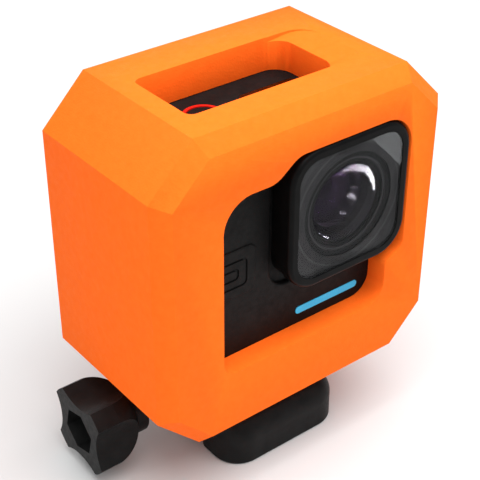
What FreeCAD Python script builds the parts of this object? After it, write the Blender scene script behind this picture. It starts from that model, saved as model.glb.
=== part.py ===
import FreeCAD, Part
import math
import os
import Sketcher
from FreeCAD import Placement, Rotation, Vector

# A cube action camera in a foam float, clamped to a quick-release buckle.
# Millimetres. The origin is the middle of the buckle's flat underside, straight
# below the clamp screw. The lens looks along -Y, +X is to the right of someone
# who faces the lens, and +Z is up.

doc = FreeCAD.newDocument("action_camera")
sheet = doc.addObject("Spreadsheet::Sheet", "dims")

DIMENSIONS = {
    # foam float
    "foam_width": 68.0, "foam_depth": 39.54, "foam_height": 66.52,
    "foam_base": 15.5, "foam_front": -24.985, "foam_corner": 9.45, "foam_bevel": 2.92,
    "foam_gap": 0.1,
    # camera body
    "body_width": 52.4, "body_height": 51.2, "body_base": 23.8,
    "body_front": -20.15, "body_rear": 12.55, "body_corner": 6.5, "body_wall": 1.6,
    "panel_thick": 0.9, "split_y": 2.3, "gasket_thick": 0.4,
    # window cut in the float's front, X and Z measured on its front face
    "window_left": -20.5, "window_right": 20.1, "window_bottom": 31.3, "window_top": 69.07,
    "lens_window_right": 24.7, "lens_window_top": 72.9, "lens_window_bottom": 42.6,
    # window cut in the float's top, and the finger scoop beside it
    "hatch_left": -20.2, "hatch_right": 14.0, "hatch_front": -15.2, "hatch_rear": 2.3,
    "hatch_corner": 4.0, "scoop_right": 20.4, "scoop_tilt": 6.5,
    # lens and its cover
    "lens_x": 9.55, "lens_z": 57.75, "cover_size": 29.7, "cover_corner": 6.8,
    "cover_front": -25.09, "cover_depth": 2.7, "cover_rim": 2.0,
    "cover_glass_thick": 0.5, "cover_mask_thick": 0.2, "cover_inset": 0.15,
    "cover_bore": 10.9, "turret_size": 28.9,
    "barrel_radius": 11.0, "barrel_bore": 11.2, "barrel_rear": -7.0, "lens_stop": 2.4,
    # shutter and mode buttons
    "shutter_x": -10.0, "shutter_y": -5.3, "shutter_radius": 3.22,
    "ring_inner": 3.3, "ring_outer": 3.95,
    "mode_x": -3.5, "mode_y": -11.4, "mode_radius": 1.8, "mode_hole": 1.88,
    # status window
    "status_x": 6.2, "status_y": -8.0, "status_width": 13.6, "status_depth": 9.8,
    # mounting fingers and the clamp that goes through them
    "clamp_z": 10.3, "finger_thick": 3.0, "finger_gap": 3.0, "finger_radius": 7.3,
    "finger_bore": 2.5, "pivot_radius": 0.8, "pivot_inset": 1.5,
    "prong_play": 0.15, "shank_radius": 2.45,
    "rear_reach": 10.3,
    # thumb knob
    "knob_face": -38.54, "knob_end": -25.2, "knob_lobe": 9.5, "knob_waist": 6.5,
    "knob_collar": 5.6, "knob_sleeve": 3.8, "knob_hex": 4.9, "knob_socket": 6.9,
    # buckle
    "buckle_half_width": 14.9, "buckle_half_length": 20.1, "nose_rear": -8.6,
    "nose_height": 11.0, "nose_corner": 6.0, "tongue_half_width": 8.2,
    "tongue_height": 3.6, "arm_inner": 10.5, "arm_height": 3.2, "arm_pivot_y": -4.0,
    "nut_thick": 4.0, "boss_radius": 6.0, "boss_end": 12.1,
}

for row, (alias, value) in enumerate(DIMENSIONS.items(), start=1):
    sheet.set("A%d" % row, alias.replace("_", " "))
    sheet.set("B%d" % row, str(value))
    sheet.setAlias("B%d" % row, alias)
doc.recompute()


class Size:
    """A length that carries its value and the sheet expression that gives it."""

    def __init__(self, value, text):
        self.value = value
        self.text = text

    def __add__(self, other):
        return Size(self.value + value_of(other), "(%s + %s)" % (self.text, text_of(other)))

    def __radd__(self, other):
        return self + other

    def __sub__(self, other):
        return Size(self.value - value_of(other), "(%s - %s)" % (self.text, text_of(other)))

    def __rsub__(self, other):
        return Size(value_of(other) - self.value, "(%s - %s)" % (text_of(other), self.text))

    def __mul__(self, other):
        return Size(self.value * value_of(other), "(%s * %s)" % (self.text, text_of(other)))

    def __rmul__(self, other):
        return self * other

    def __truediv__(self, other):
        return Size(self.value / value_of(other), "(%s / %s)" % (self.text, text_of(other)))

    def __neg__(self):
        return Size(-self.value, "(-1 * %s)" % self.text)


def value_of(size):
    return size.value if isinstance(size, Size) else float(size)


def text_of(size):
    return size.text if isinstance(size, Size) else "%.6f" % size


class Dimensions:
    """Reads the sheet: d.foam_width is the cell of that alias."""

    def __getattr__(self, alias):
        return Size(float(sheet.get(alias)), "dims.%s" % alias)


d = Dimensions()

# A sketch plane, and the sign that takes a length along +axis to the plane's own normal.
PLANES = {"X": ("YZ_Plane", 1), "Y": ("XZ_Plane", -1), "Z": ("XY_Plane", 1)}


# ---------------------------------------------------------------- sketch outlines

def disc(radius):
    def draw(sketch):
        sketch.addGeometry(Part.Circle(Vector(0, 0, 0), Vector(0, 0, 1), value_of(radius)), False)
        sketch.addConstraint(Sketcher.Constraint("Coincident", 0, 3, -1, 1))
        index = sketch.addConstraint(Sketcher.Constraint("Radius", 0, value_of(radius)))
        sketch.setExpression("Constraints[%d]" % index, text_of(radius))
    return draw


def ring(inner, outer):
    def draw(sketch):
        for place, radius in enumerate((inner, outer)):
            circle = Part.Circle(Vector(0, 0, 0), Vector(0, 0, 1), value_of(radius))
            sketch.addGeometry(circle, False)
            sketch.addConstraint(Sketcher.Constraint("Coincident", place, 3, -1, 1))
            index = sketch.addConstraint(Sketcher.Constraint("Radius", place, value_of(radius)))
            sketch.setExpression("Constraints[%d]" % index, text_of(radius))
    return draw


def add_outline(sketch, corners):
    """Draw a closed outline through (u, v, radius) corners, with each corner rounded."""
    points = [Vector(value_of(u), value_of(v), 0) for u, v, _ in corners]
    radii = [value_of(radius) for _, _, radius in corners]
    count = len(points)
    starts, ends, arcs = [], [], []
    for i, point in enumerate(points):
        back = (points[i - 1] - point).normalize()
        ahead = (points[(i + 1) % count] - point).normalize()
        if radii[i] <= 0:
            starts.append(point)
            ends.append(point)
            arcs.append(None)
            continue
        half = back.getAngle(ahead) / 2
        trim = radii[i] / math.tan(half)
        middle = point + (back + ahead).normalize() * (radii[i] / math.sin(half) - radii[i])
        starts.append(point + back * trim)
        ends.append(point + ahead * trim)
        arcs.append(Part.Arc(starts[-1], middle, ends[-1]))
    for i in range(count):
        if arcs[i] is not None:
            sketch.addGeometry(arcs[i], False)
        after = starts[(i + 1) % count]
        if (after - ends[i]).Length > 1e-6:
            sketch.addGeometry(Part.LineSegment(ends[i], after), False)


def outline(*corners):
    def draw(sketch):
        add_outline(sketch, corners)
    return draw


def plate(width, height, corner=0):
    """A rectangle about the sketch's origin, with rounded corners if corner is given."""
    if value_of(corner) > 0:
        u, v = width / 2, height / 2
        return outline((-u, -v, corner), (u, -v, corner), (u, v, corner), (-u, v, corner))

    def draw(sketch):
        u, v = value_of(width) / 2, value_of(height) / 2
        points = [Vector(-u, -v, 0), Vector(u, -v, 0), Vector(u, v, 0), Vector(-u, v, 0)]
        for i in range(4):
            sketch.addGeometry(Part.LineSegment(points[i], points[(i + 1) % 4]), False)
        for i in range(4):
            sketch.addConstraint(Sketcher.Constraint("Coincident", i, 2, (i + 1) % 4, 1))
            kind = "Horizontal" if i % 2 == 0 else "Vertical"
            sketch.addConstraint(Sketcher.Constraint(kind, i))
        sketch.addConstraint(Sketcher.Constraint("Symmetric", 0, 1, 1, 2, -1, 1))
        for kind, line, size in (("DistanceX", 0, width), ("DistanceY", 1, height)):
            index = sketch.addConstraint(Sketcher.Constraint(kind, line, 1, line, 2, value_of(size)))
            sketch.setExpression("Constraints[%d]" % index, text_of(size))
    return draw


def frame(width, height, corner, border):
    """A rounded rectangle with a smaller one cut out of it."""
    def draw(sketch):
        plate(width, height, corner)(sketch)
        plate(width - border * 2, height - border * 2, corner - border)(sketch)
    return draw


def octagon(width, height, cut):
    u, v = width / 2, height / 2
    return outline((-u + cut, -v, 0), (u - cut, -v, 0), (u, -v + cut, 0), (u, v - cut, 0),
                   (u - cut, v, 0), (-u + cut, v, 0), (-u, v - cut, 0), (-u, -v + cut, 0))


def hexagon(corner_radius, turn_deg):
    corners = []
    for i in range(6):
        angle = math.radians(turn_deg + 60 * i)
        corners.append((corner_radius * math.cos(angle), corner_radius * math.sin(angle), 0))
    return outline(*corners)


def several(*shapes):
    """Several outlines in one sketch, each moved by its own (u, v)."""
    def draw(sketch):
        for (du, dv), corners in shapes:
            add_outline(sketch, [(u + du, v + dv, radius) for u, v, radius in corners])
    return draw


def box_corners(width, height):
    u, v = width / 2, height / 2
    return [(-u, -v, 0), (u, -v, 0), (u, v, 0), (-u, v, 0)]


# ---------------------------------------------------------------- building a piece

class Piece:
    """One PartDesign body, which is one node of the assembly."""

    def __init__(self, name):
        self.name = name
        self.body = doc.addObject("PartDesign::Body", name)
        self.body.Label = name
        self.volume = 0.0

    def origin_feature(self, role):
        for feature in self.body.Origin.OriginFeatures:
            if feature.Role == role:
                return feature
        raise ValueError(role)

    def add(self, kind, word):
        return self.body.newObject("PartDesign::" + kind, "%s_%s" % (self.name, word))

    def sketch(self, axis, start, centre, draw, tilt=0.0):
        """A sketch square to axis, at start along it, with its own origin at centre."""
        role, sign = PLANES[axis]
        sketch = self.body.newObject("Sketcher::SketchObject", self.name + "_sketch")
        sketch.AttachmentSupport = [(self.origin_feature(role), "")]
        sketch.MapMode = "FlatFace"
        base = Vector(value_of(centre[0]), value_of(centre[1]), sign * value_of(start))
        sketch.AttachmentOffset = Placement(base, Rotation(Vector(0, 1, 0), tilt))
        sketch.setExpression("AttachmentOffset.Base.x", text_of(centre[0]))
        sketch.setExpression("AttachmentOffset.Base.y", text_of(centre[1]))
        sketch.setExpression("AttachmentOffset.Base.z", "%d * %s" % (sign, text_of(start)))
        draw(sketch)
        return sketch

    def pad(self, axis, start, length, centre, draw):
        """Add material from start, for length, along +axis."""
        pad = self.add("Pad", "pad")
        pad.Profile = self.sketch(axis, start, centre, draw)
        pad.Length = value_of(length)
        pad.setExpression("Length", text_of(length))
        pad.Reversed = axis == "Y"
        return self.finish(pad, grows=True)

    def pocket(self, axis, start, length, centre, draw, tilt=0.0):
        """Cut from start, for length, along +axis."""
        pocket = self.add("Pocket", "pocket")
        pocket.Profile = self.sketch(axis, start, centre, draw, tilt)
        pocket.Length = value_of(length)
        pocket.setExpression("Length", text_of(length))
        pocket.Reversed = axis != "Y"
        return self.finish(pocket, grows=False)

    def turn(self, kind, plane, centre, level, spin, draw):
        """Revolve an outline about the sketch's own V_Axis or H_Axis."""
        feature = self.add(kind, "turn")
        sketch = self.sketch(plane, level, centre, draw)
        feature.Profile = sketch
        feature.ReferenceAxis = (sketch, [spin])
        feature.Angle = 360.0
        return self.finish(feature, grows=kind == "Revolution")

    def finish(self, feature, grows):
        before = self.volume
        self.body.Tip = feature
        doc.recompute()
        after = feature.Shape.Volume
        if (after > before) != grows or abs(after - before) < 1e-6:
            raise RuntimeError("%s changed nothing: %g to %g" % (feature.Name, before, after))
        self.volume = after
        return feature

    def edges(self, test):
        names = ["Edge%d" % (i + 1) for i, edge in enumerate(self.body.Tip.Shape.Edges) if test(edge)]
        if not names:
            raise RuntimeError("%s has no such edge" % self.name)
        return names

    def round(self, radius, test):
        return self.dress("Fillet", "Radius", radius, test)

    def bevel(self, size, test):
        return self.dress("Chamfer", "Size", size, test)

    def dress(self, kind, setting, size, test):
        base = self.body.Tip
        names = self.edges(test)
        feature = self.add(kind, kind.lower())
        feature.Base = (base, names)
        setattr(feature, setting, value_of(size))
        feature.setExpression(setting, text_of(size))
        self.body.Tip = feature
        doc.recompute()
        self.volume = feature.Shape.Volume
        return feature

    def repeat(self, feature, direction, length, count):
        """Repeat a feature along one of the body's axes, count times over length."""
        pattern = self.add("LinearPattern", "row")
        pattern.Originals = [feature]
        pattern.Direction = (self.origin_feature(direction), [""])
        pattern.Length = value_of(length)
        pattern.Occurrences = count
        self.body.Tip = pattern
        doc.recompute()
        self.volume = pattern.Shape.Volume
        return pattern


def level(axis, place, tolerance=0.01):
    """Tests for edges that lie in the plane where axis has the value place."""
    want = value_of(place)

    def test(edge):
        box = edge.BoundBox
        low = getattr(box, axis + "Min")
        high = getattr(box, axis + "Max")
        return abs(low - want) < tolerance and abs(high - want) < tolerance
    return test


def along(axis):
    """Tests for straight edges that run along axis."""
    unit = {"X": Vector(1, 0, 0), "Y": Vector(0, 1, 0), "Z": Vector(0, 0, 1)}[axis]

    def test(edge):
        if not isinstance(edge.Curve, Part.Line):
            return False
        return abs(abs(edge.Curve.Direction.dot(unit)) - 1) < 1e-6
    return test


def both(*tests):
    return lambda edge: all(test(edge) for test in tests)


def within(axis, low, high):
    """Tests for edges whose middle lies between low and high along axis."""
    def test(edge):
        middle = getattr(edge.BoundBox.Center, axis.lower())
        return value_of(low) < middle < value_of(high)
    return test


# ---------------------------------------------------------------- shared places

foam_rear = d.foam_front + d.foam_depth
foam_top = d.foam_base + d.foam_height
foam_middle = d.foam_base + d.foam_height / 2
body_top = d.body_base + d.body_height
body_middle = d.body_base + d.body_height / 2
shell_front = d.body_front + d.panel_thick
gasket_rear = d.split_y + d.gasket_thick
inner_width = d.body_width - d.body_wall * 2
inner_height = d.body_height - d.body_wall * 2
inner_corner = d.body_corner - d.body_wall
lens = (d.lens_x, d.lens_z)
cover_rear = d.cover_front + d.cover_depth
cover_ledge = d.cover_front + d.cover_inset + d.cover_glass_thick + d.cover_mask_thick + 0.05
lens_front = cover_ledge + 0.15
pivot_x = d.finger_gap / 2 + d.finger_thick / 2
bay_depth = d.finger_thick + 0.3
rear_pivot_y = d.body_rear - 0.3 - d.finger_thick / 2
bottom_pivot_z = d.body_base + d.pivot_inset
THROUGH = 2.0
DOOR = {"y": -7.0, "z": 49.4, "width": 14.0, "height": 32.0}
BAY_HALF = (20.0, 7.6)
BAY_WALL = 0.6
SPEAKER = {"x": -16.9, "z": 49.7, "width": 14.8, "height": 10.4, "proud": 0.35}


# ---------------------------------------------------------------- foam float

def float_foam():
    """One block of foam: octagonal seen from the front, with the camera's pocket inside."""
    piece = Piece("float_foam")
    piece.pad("Y", d.foam_front, d.foam_depth, (0, foam_middle),
              octagon(d.foam_width, d.foam_height, d.foam_corner))
    at_front, at_rear = level("Y", d.foam_front), level("Y", foam_rear)
    piece.bevel(d.foam_bevel, lambda edge: at_front(edge) or at_rear(edge))
    pocket_start = d.body_front - d.foam_gap
    pocket_depth = d.body_rear - d.body_front + d.foam_gap * 2
    piece.pocket("Y", pocket_start, pocket_depth, (0, body_middle),
                 plate(d.body_width + d.foam_gap * 2, d.body_height + d.foam_gap * 2,
                       d.body_corner + d.foam_gap))
    piece.pocket("Y", pocket_start - SPEAKER["proud"], THROUGH, (SPEAKER["x"], SPEAKER["z"]),
                 plate(SPEAKER["width"] + 0.3, SPEAKER["height"] + 0.3, 1.6))
    piece.pocket("Y", d.foam_front - THROUGH, pocket_start - d.foam_front + THROUGH * 2, (0, 0),
                 front_window())
    piece.pocket("Y", d.body_rear - THROUGH, foam_rear - d.body_rear + THROUGH * 2,
                 (0, body_middle), plate(46.0, 43.0, 5.0))
    hatch_width = d.hatch_right - d.hatch_left
    hatch_depth = d.hatch_rear - d.hatch_front
    hatch_centre = (d.hatch_left + hatch_width / 2, d.hatch_front + hatch_depth / 2)
    u, v = hatch_width / 2, hatch_depth / 2
    piece.pocket("Z", body_top - THROUGH, foam_top - body_top + THROUGH * 2, hatch_centre,
                 outline((-u, -v, 1.8), (u, -v, d.hatch_corner), (u, v, d.hatch_corner), (-u, v, 1.8)))
    scoop(piece)
    piece.pocket("Z", d.foam_base - THROUGH, d.body_base - d.foam_base + THROUGH * 2, (2.15, 0),
                 plate(20.9, 16.2, 1.5))
    soften = within("Y", foam_rear - 0.2, foam_rear + 0.2)
    rim = both(soften, within("Z", body_middle - 22, body_middle + 22),
               within("X", -23.5, 23.5))
    piece.round(0.8, rim)
    return piece


def front_window():
    """The front window: a tall left part, and a larger square part for the lens cover."""
    rise_low, rise_high = -8.7, -3.6
    return outline(
        (d.window_left, d.window_bottom, 3.0),
        (d.window_right, d.window_bottom, 4.5),
        (d.window_right, d.lens_window_bottom - 2.3, 1.6),
        (d.lens_window_right, d.lens_window_bottom, 3.2),
        (d.lens_window_right, d.lens_window_top, 7.0),
        (rise_high, d.lens_window_top, 5.0),
        (rise_low, d.window_top, 5.0),
        (d.window_left, d.window_top, 6.5))


def scoop(piece):
    """A shallow finger scoop that slopes down to the right-hand wall of the top window."""
    reach = d.hatch_rear - d.hatch_front - 0.1
    inner = d.hatch_right - d.scoop_right - d.hatch_corner
    piece.pocket("Z", foam_top, 6.0, (d.scoop_right, d.hatch_front), outline(
        (inner, 0, 0), (0, 0, 3.0), (0, reach, 5.0), (inner, reach, 0)), -value_of(d.scoop_tilt))


# ---------------------------------------------------------------- camera shells

def front_shell():
    piece = Piece("front_shell")
    piece.pad("Y", shell_front, d.split_y - shell_front, (0, body_middle),
              plate(d.body_width, d.body_height, d.body_corner))
    piece.round(0.8, level("Y", shell_front))
    piece.pocket("Y", shell_front + d.body_wall, d.split_y - shell_front - d.body_wall + THROUGH,
                 (0, body_middle), plate(inner_width, inner_height, inner_corner))
    piece.pocket("Y", shell_front - THROUGH, d.body_wall + THROUGH * 2, lens, disc(d.barrel_bore))
    piece.pocket("X", -d.body_width / 2 - THROUGH, d.body_wall + THROUGH * 2,
                 (DOOR["y"], DOOR["z"]), plate(DOOR["width"], DOOR["height"], 3.0))
    top_start = body_top - d.body_wall - THROUGH
    top_cut = d.body_wall + THROUGH * 2
    piece.pocket("Z", top_start, top_cut, (d.shutter_x, d.shutter_y), disc(d.ring_outer + 0.05))
    piece.pocket("Z", top_start, top_cut, (d.mode_x, d.mode_y), disc(d.mode_hole))
    piece.pocket("Z", top_start, top_cut, (d.status_x, d.status_y),
                 plate(d.status_width, d.status_depth, 1.2))
    piece.pocket("Z", top_start, top_cut, (-16.8, -6.0), disc(0.75))
    piece.pocket("Z", top_start, top_cut, (-16.8, -11.5), disc(1.25))
    bay_cut(piece)
    return piece


def bay_cut(piece):
    """The room in a shell's floor, or in the heat sink, for the bottom finger bay."""
    gap = BAY_WALL * 2 + 0.1
    piece.pocket("Z", d.body_base - THROUGH, bay_depth + 0.9 + THROUGH, (0, 0),
                 plate(BAY_HALF[0] * 2 + gap, BAY_HALF[1] * 2 + gap, 1.0))


def front_panel():
    """The moulded front skin, cut away around the square lens turret."""
    piece = Piece("front_panel")
    left, right = -d.body_width / 2, d.body_width / 2
    edge_x, edge_z = -5.7, 42.5
    piece.pad("Y", d.body_front, d.panel_thick, (0, 0),
              outline((left, d.body_base, d.body_corner), (right, d.body_base, d.body_corner),
                      (right, edge_z, 1.0), (edge_x, edge_z, 4.0), (edge_x, body_top, 1.0),
                      (left, body_top, d.body_corner)))
    piece.round(0.7, level("Y", d.body_front))
    piece.pocket("Y", d.body_front - THROUGH, THROUGH + 0.45, (SPEAKER["x"], SPEAKER["z"]),
                 plate(SPEAKER["width"] + 0.1, SPEAKER["height"] + 0.1, 1.55))
    piece.pocket("Y", d.body_front - THROUGH, THROUGH + 0.25, (8.95, 34.3), plate(16.3, 1.7, 0.8))
    return piece


def speaker_cover():
    """A raised plate with grooves like nested frames, over the speaker's drain."""
    piece = Piece("speaker_cover")
    centre = (SPEAKER["x"], SPEAKER["z"])
    face = d.body_front - SPEAKER["proud"]
    piece.pad("Y", face, 0.8, centre, plate(SPEAKER["width"], SPEAKER["height"], 1.5))
    piece.round(0.25, level("Y", face))
    for width, height, corner in ((10.6, 6.2, 1.2), (6.6, 2.6, 0.9)):
        piece.pocket("Y", face - THROUGH, THROUGH + 0.25, centre, frame(width, height, corner, 0.5))
    return piece


def accent_strip():
    """A plain inlaid strip under the lens."""
    piece = Piece("accent_strip")
    piece.pad("Y", d.body_front - 0.1, 0.35, (8.95, 34.3), plate(16.2, 1.6, 0.75))
    return piece


def body_gasket():
    piece = Piece("body_gasket")
    piece.pad("Y", d.split_y, d.gasket_thick, (0, body_middle),
              plate(d.body_width - 0.8, d.body_height - 0.8, d.body_corner - 0.4))
    piece.pocket("Y", d.split_y - THROUGH, d.gasket_thick + THROUGH * 2, (0, body_middle),
                 plate(inner_width, inner_height, inner_corner))
    bay_cut(piece)
    return piece


def rear_shell():
    piece = Piece("rear_shell")
    piece.pad("Y", gasket_rear, d.body_rear - gasket_rear, (0, body_middle),
              plate(d.body_width, d.body_height, d.body_corner))
    piece.round(1.2, level("Y", d.body_rear))
    piece.pocket("Y", gasket_rear - THROUGH, d.body_rear - gasket_rear + THROUGH * 2,
                 (0, body_middle), plate(inner_width, inner_height, inner_corner))
    bay_cut(piece)
    return piece


def heat_sink():
    """The finned metal back, with a bay for the folding rear fingers."""
    piece = Piece("heat_sink")
    start, stop = d.body_rear - 6.0, d.body_rear - 0.3
    piece.pad("Y", start, stop - start, (0, body_middle),
              plate(inner_width - 0.1, inner_height - 0.1, inner_corner))
    piece.round(0.5, level("Y", stop))
    bay_floor = rear_pivot_y - d.finger_thick / 2 - 0.25
    piece.pocket("Y", bay_floor, THROUGH + bay_depth, (0, body_middle), plate(42.6, 15.2, 1.0))
    slot_height = 12.0
    slot_rise = 15.3
    slot_x = -18.0
    corners = box_corners(1.7, slot_height)
    slot = piece.pocket("Y", stop - 2.4, 2.4 + THROUGH, (0, body_middle),
                        several(((slot_x, slot_rise), corners), ((slot_x, -slot_rise), corners)))
    piece.repeat(slot, "X_Axis", 36.0, 13)
    bay_cut(piece)
    for x, z in screw_places():
        piece.pocket("Y", stop - 1.6, 1.6 + THROUGH, (x, z), disc(1.75))
        piece.pocket("Y", start - THROUGH, 8.0 + THROUGH, (x, z), disc(0.85))
    return piece


def screw_places():
    return [(x, value_of(body_middle) + rise) for x in (-21.7, 21.7) for rise in (-20.4, 20.4)]


def body_screws():
    """The four screws that hold the heat sink, as one group of separate solids."""
    screws = []
    stop = value_of(d.body_rear) - 0.3
    for number, (x, z) in enumerate(screw_places(), start=1):
        head = doc.addObject("Part::Cylinder", "screw_head_%d" % number)
        shank = doc.addObject("Part::Cylinder", "screw_shank_%d" % number)
        drive = doc.addObject("Part::Prism", "screw_drive_%d" % number)
        turn = Rotation(Vector(1, 0, 0), -90)
        head.Radius, head.Height = 1.6, 1.2
        head.Placement = Placement(Vector(x, stop - 1.55, z), turn)
        shank.Radius, shank.Height = 0.8, 6.0
        shank.Placement = Placement(Vector(x, stop - 7.55, z), turn)
        drive.Polygon, drive.Circumradius, drive.Height = 6, 0.75, 1.0
        drive.Placement = Placement(Vector(x, stop - 0.95, z), turn)
        whole = doc.addObject("Part::Fuse", "screw_blank_%d" % number)
        whole.Base, whole.Tool = head, shank
        cut = doc.addObject("Part::Cut", "screw_%d" % number)
        cut.Base, cut.Tool = whole, drive
        screws.append(cut)
    return group("body_screws", screws)


def group(name, members):
    """Several separate solids in one node."""
    compound = doc.addObject("Part::Compound", name)
    compound.Label = name
    compound.Links = members
    doc.recompute()
    return compound


def side_door():
    piece = Piece("side_door")
    left = -d.body_width / 2
    piece.pad("X", left, 1.2, (DOOR["y"], DOOR["z"]),
              plate(DOOR["width"] - 0.3, DOOR["height"] - 0.3, 2.85))
    piece.round(0.3, level("X", left))
    piece.pocket("X", left - THROUGH, THROUGH + 0.7, (DOOR["y"], DOOR["z"] - 9.0), plate(8.2, 5.2, 1.0))
    return piece


def door_seal():
    piece = Piece("door_seal")
    piece.pad("X", -d.body_width / 2 + 1.2, 0.6, (DOOR["y"], DOOR["z"]),
              frame(DOOR["width"] - 1.0, DOOR["height"] - 1.0, 2.5, 1.0))
    return piece


def door_latch():
    """The sliding latch tab, sunk in the door."""
    piece = Piece("door_latch")
    left = -d.body_width / 2
    piece.pad("X", left + 0.05, 0.65, (DOOR["y"], DOOR["z"] - 8.6), plate(8.0, 4.2, 0.9))
    piece.pocket("X", left + 0.05 - THROUGH, THROUGH + 0.3, (DOOR["y"], DOOR["z"] - 8.6),
                 several(((0, -1.0), box_corners(5.0, 0.5)), ((0, 0), box_corners(5.0, 0.5)),
                         ((0, 1.0), box_corners(5.0, 0.5))))
    return piece


# ---------------------------------------------------------------- lens

def lens_turret():
    piece = Piece("lens_turret")
    piece.pad("Y", cover_rear, shell_front - cover_rear, lens,
              plate(d.turret_size, d.turret_size, d.cover_corner - 0.4))
    piece.pocket("Y", cover_rear - THROUGH, shell_front - cover_rear + THROUGH * 2, lens,
                 disc(d.barrel_bore))
    piece.pocket("Y", cover_rear - THROUGH, 0.8 + THROUGH, lens, ring(11.95, 12.95))
    return piece


def lens_cover_seal():
    piece = Piece("lens_cover_seal")
    piece.pad("Y", cover_rear, 0.75, lens, ring(12.0, 12.9))
    return piece


def lens_cover_frame():
    """The square bayonet frame that holds the cover glass."""
    piece = Piece("lens_cover_frame")
    piece.pad("Y", d.cover_front, d.cover_depth, lens,
              plate(d.cover_size, d.cover_size, d.cover_corner))
    piece.round(0.9, level("Y", d.cover_front))
    opening = d.cover_size - d.cover_rim * 2
    piece.pocket("Y", d.cover_front - THROUGH, cover_ledge - d.cover_front + THROUGH, lens,
                 plate(opening, opening, d.cover_corner - d.cover_rim))
    piece.pocket("Y", d.cover_front, d.cover_depth + THROUGH, lens, disc(11.5))
    return piece


def lens_cover_glass():
    piece = Piece("lens_cover_glass")
    size = d.cover_size - d.cover_rim * 2 - 0.1
    piece.pad("Y", d.cover_front + d.cover_inset, d.cover_glass_thick, lens,
              plate(size, size, d.cover_corner - d.cover_rim - 0.05))
    return piece


def lens_cover_mask():
    """The dark printed border behind the cover glass."""
    piece = Piece("lens_cover_mask")
    size = d.cover_size - d.cover_rim * 2 - 0.1
    start = d.cover_front + d.cover_inset + d.cover_glass_thick
    piece.pad("Y", start, d.cover_mask_thick, lens, plate(size, size, d.cover_corner - d.cover_rim - 0.05))
    piece.pocket("Y", start - THROUGH, d.cover_mask_thick + THROUGH * 2, lens, disc(d.cover_bore))
    return piece


def lens_barrel():
    """A stepped tube: light-trap rings in front, a seat for each element, and the stop."""
    piece = Piece("lens_barrel")
    outer, slim = d.barrel_radius, d.barrel_radius - 2
    corners = [(outer, lens_front, 0), (9.7, lens_front, 0)]
    radius, depth = 9.7, lens_front
    for step in range(3):
        depth = depth + 0.2
        corners.append((radius, depth, 0))
        radius -= 0.55
        corners.append((radius, depth, 0))
    corners += [
        (radius, lens_front + 3.7, 0), (6.05, lens_front + 3.7, 0),
        (6.05, lens_front + 8.0, 0), (d.lens_stop, lens_front + 8.0, 0),
        (d.lens_stop, lens_front + 8.5, 0), (5.05, lens_front + 8.5, 0),
        (5.05, d.barrel_rear, 0), (slim, d.barrel_rear, 0),
        (slim, lens_front + 7.0, 0), (outer, lens_front + 7.0, 0)]
    piece.turn("Revolution", "Z", (d.lens_x, 0), d.lens_z, "V_Axis", outline(*corners))
    return piece


def lens_element(name, radius, front, rear, bulge):
    """A round element whose front face is domed by bulge."""
    piece = Piece(name)
    front_y, rear_y = value_of(front), value_of(rear)

    def draw(sketch):
        apex = Vector(0, front_y - bulge, 0)
        rim_front = Vector(radius, front_y, 0)
        rim_rear = Vector(radius, rear_y, 0)
        middle_radius = (radius ** 2 + bulge ** 2) / (2 * bulge)
        half = math.asin(radius / middle_radius) / 2
        centre_y = front_y - bulge + middle_radius
        middle = Vector(middle_radius * math.sin(half), centre_y - middle_radius * math.cos(half), 0)
        sketch.addGeometry(Part.Arc(apex, middle, rim_front), False)
        sketch.addGeometry(Part.LineSegment(rim_front, rim_rear), False)
        sketch.addGeometry(Part.LineSegment(rim_rear, Vector(0, rear_y, 0)), False)
        sketch.addGeometry(Part.LineSegment(Vector(0, rear_y, 0), apex), False)
    piece.turn("Revolution", "Z", (d.lens_x, 0), d.lens_z, "V_Axis", draw)
    return piece


def lens_elements():
    lens_element("lens_front_element", 8.0, lens_front + 0.6, lens_front + 3.7, 0.85)
    lens_element("lens_middle_element", 6.0, lens_front + 5.3, lens_front + 7.7, 1.2)
    lens_element("lens_rear_element", 5.0, lens_front + 10.0, lens_front + 12.0, 0.7)


def simple_block(name, axis, start, length, centre, shape, rounding=0.0):
    """A plain internal part: one padded outline, with its edges rounded if asked."""
    piece = Piece(name)
    piece.pad(axis, start, length, centre, shape)
    if rounding:
        piece.round(rounding, lambda edge: True)
    return piece


# ---------------------------------------------------------------- electronics

def electronics():
    simple_block("sensor_board", "Y", -5.6, 1.0, lens, plate(20.0, 20.0, 1.5))
    simple_block("image_sensor", "Y", -6.7, 1.1, lens, plate(9.6, 8.0, 0.4))
    simple_block("main_board", "Y", 0.9, 1.0, (0, body_middle), plate(45.0, 41.0, 2.0))
    chips = (((-9.0, 8.0), box_corners(13.0, 13.0)), ((8.0, 9.0), box_corners(10.0, 9.0)),
             ((-8.0, -9.0), box_corners(9.0, 11.0)), ((9.0, -8.0), box_corners(12.0, 8.0)))
    simple_block("board_chips", "Y", 1.9, 1.2, (0, body_middle), several(*chips))
    spreader = simple_block("heat_spreader", "Y", 3.1, 0.8, (0, body_middle), plate(34.0, 32.0, 2.0))
    spreader.pad("Y", 3.9, d.body_rear - 6.05 - 3.9, (0, body_middle), plate(22.0, 20.0, 1.5))
    simple_block("battery", "Y", -17.3, 12.5, (-13.6, 48.2), plate(19.8, 39.4, 1.5), 0.7)
    simple_block("speaker", "Y", -17.5, 4.4, (12.0, 32.2), plate(18.0, 7.0, 1.5), 0.5)
    simple_block("usb_socket", "X", -24.0, 7.3, (-1.2, 60.5), plate(3.2, 9.0, 1.5))
    slot = simple_block("card_slot", "X", -24.0, 14.6, (-0.6, 40.5), plate(2.2, 13.0, 0.3))
    slot.pocket("X", -24.0 - THROUGH, 14.0 + THROUGH, (-0.6, 40.5), plate(1.0, 11.3, 0.1))
    card = simple_block("memory_card", "X", -24.0, 13.9, (-0.6, 40.5), plate(0.8, 11.0, 0.2))
    return card


# ---------------------------------------------------------------- top controls

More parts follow.
